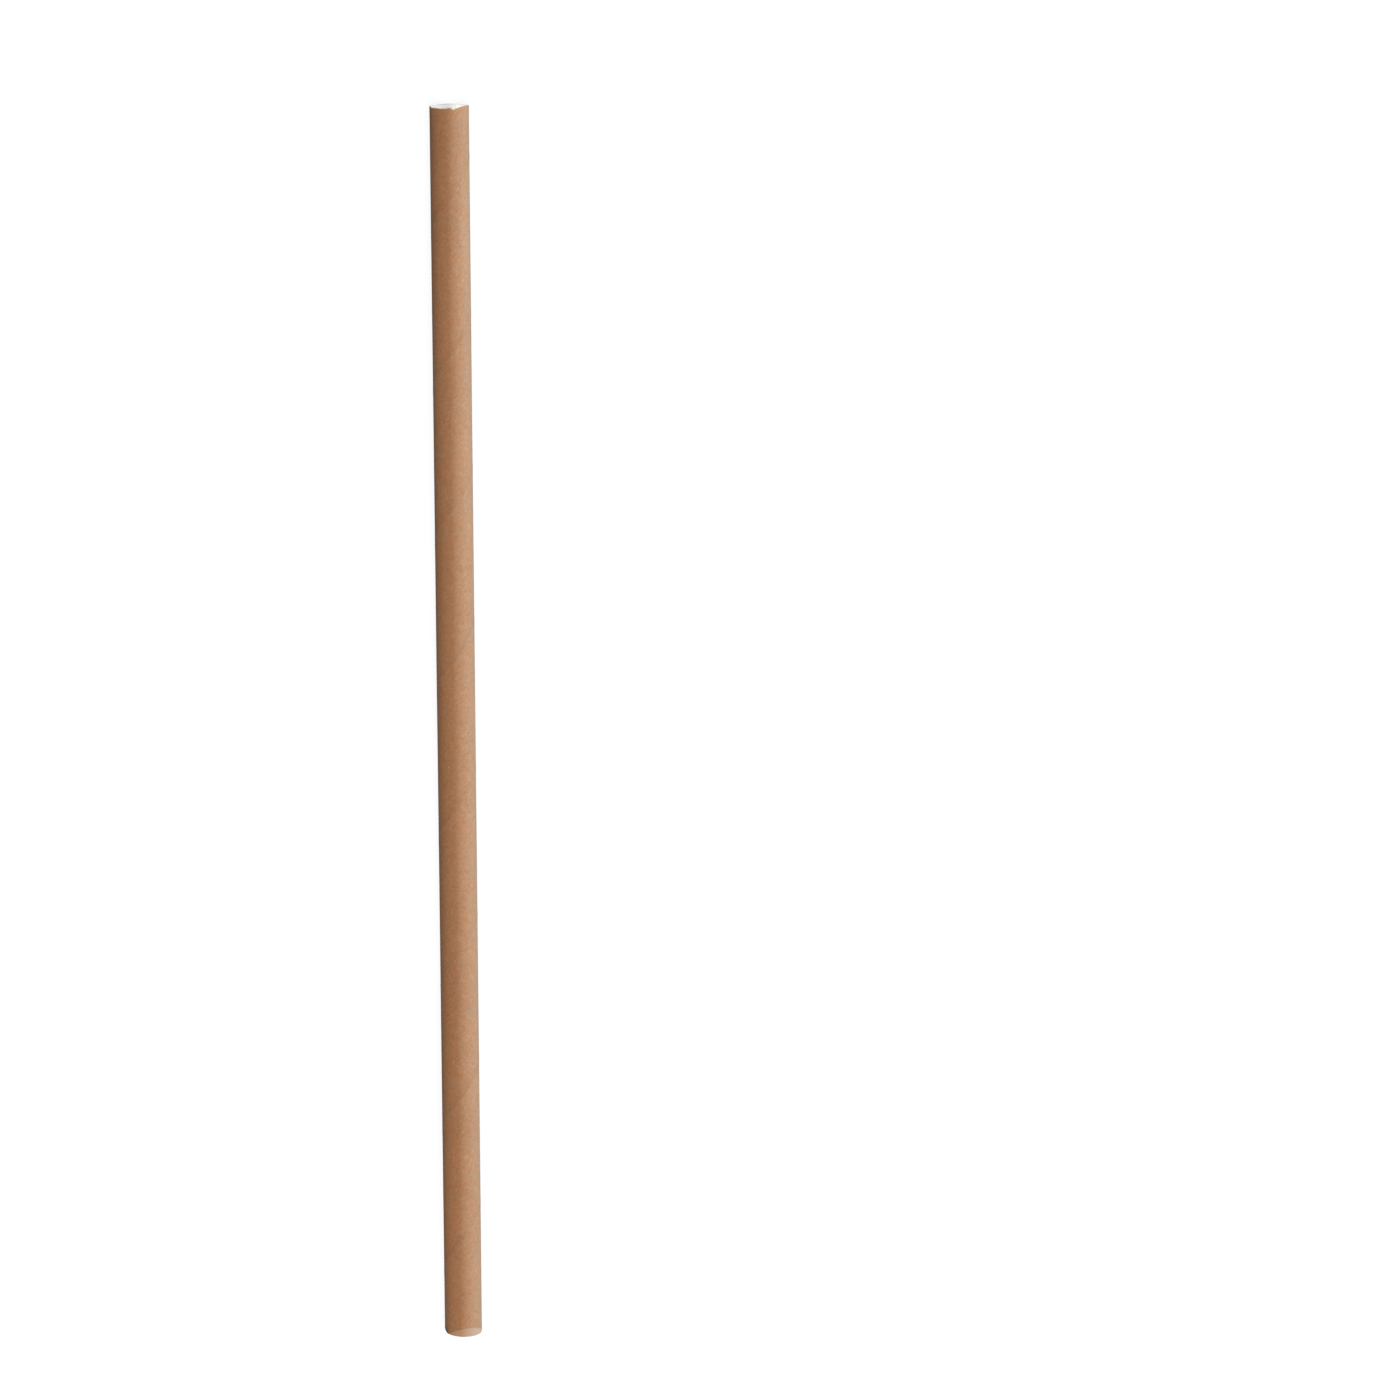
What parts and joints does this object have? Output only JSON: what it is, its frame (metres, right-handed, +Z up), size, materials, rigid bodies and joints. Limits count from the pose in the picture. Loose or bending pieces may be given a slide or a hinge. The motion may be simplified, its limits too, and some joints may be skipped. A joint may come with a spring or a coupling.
{
  "type": "paper drinking straw",
  "caption": "Straight drinking straw of paper strips wound in a right-handed spiral, brown kraft outside and white inside, with a butt seam and open ends.",
  "frame": {"origin": "on the table, under the middle of the straw as it lies on its side", "axes": "+Y along the straw's axis, towards the end that is at the top of the picture; +X to the right as the picture shows it; +Z up, out of the side that faces the picture's camera"},
  "size_m": [0.006, 0.2, 0.006],
  "materials": {
    "kraft_paper": "matte, fine fibre mottle with small dark flecks",
    "white_paper": "matte, uncoated",
    "bore_paper": "matte, uncoated"
  },
  "bodies": {
    "root": {"outer_ply": "kraft_paper", "middle_ply": "white_paper", "inner_ply": "bore_paper"}
  },
  "joints": []
}
